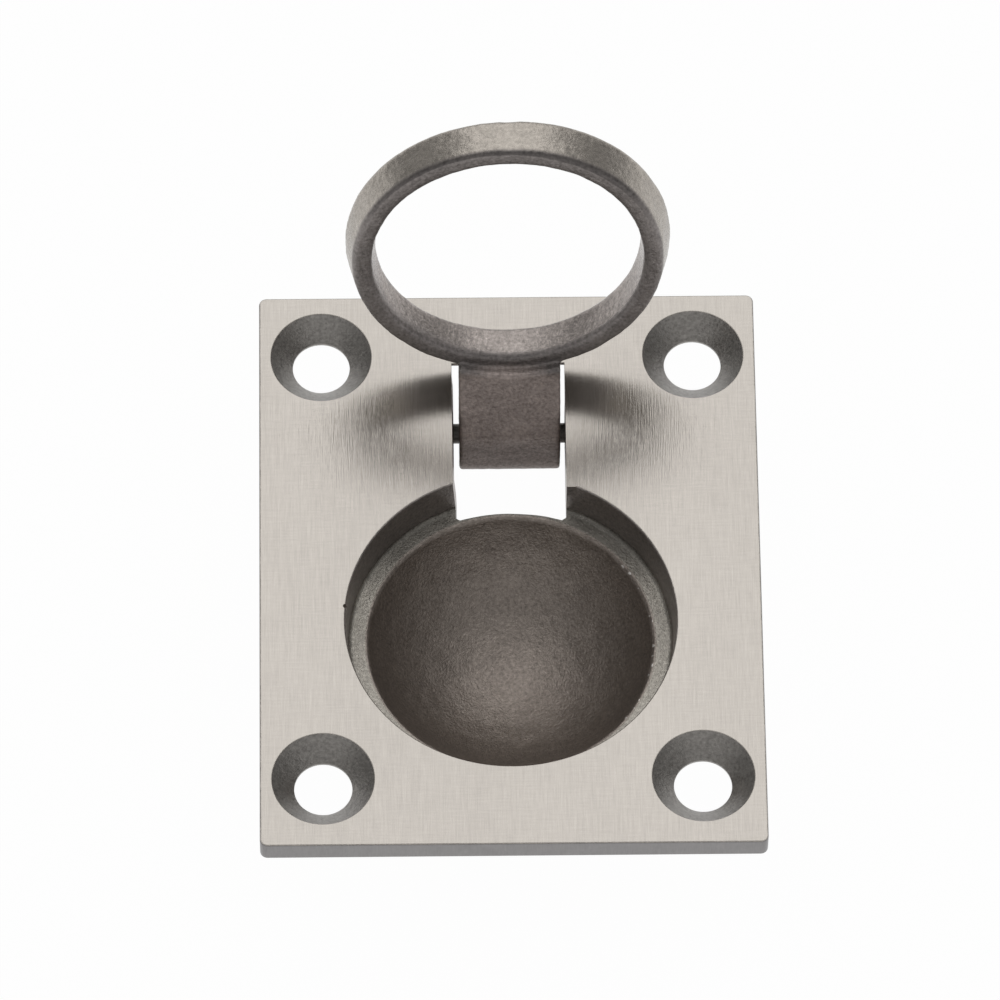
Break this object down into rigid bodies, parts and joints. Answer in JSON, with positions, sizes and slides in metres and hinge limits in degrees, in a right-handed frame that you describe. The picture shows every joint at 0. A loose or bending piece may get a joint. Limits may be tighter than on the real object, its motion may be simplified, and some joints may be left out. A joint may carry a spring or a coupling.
{
  "type": "flush ring pull",
  "caption": "Flush ring pull: cast rectangular plate with countersunk screw holes, a finger dish and a hinged lifting ring that folds flush into a recess.",
  "frame": {"origin": "centre of the four-hole screw pattern, on the plate's back face, which lies against the panel", "axes": "+Z out of the panel towards the hand, +Y along the plate from the finger dish towards the pivot, +X to the right"},
  "size_m": [0.04, 0.0501, 0.0391],
  "materials": {
    "brushed_casting": "cast stainless steel, face brushed along its length, dish and recess left as blasted casting, dark grey",
    "cast_ring": "cast stainless steel, rim brushed, underside and tab left grainy and darker",
    "drawn_pin": "plain drawn stainless wire"
  },
  "bodies": {
    "plate": {"cast_plate": "brushed_casting", "pivot_pin": "drawn_pin"},
    "ring": {"ring_handle": "cast_ring"}
  },
  "joints": [
    {"name": "ring_pivot", "type": "hinge", "parent": "plate", "child": "ring", "pos_m": [0, 0.0141, -0.0016], "axis": [1, 0, 0], "range_deg": [0, 103.5]}
  ]
}
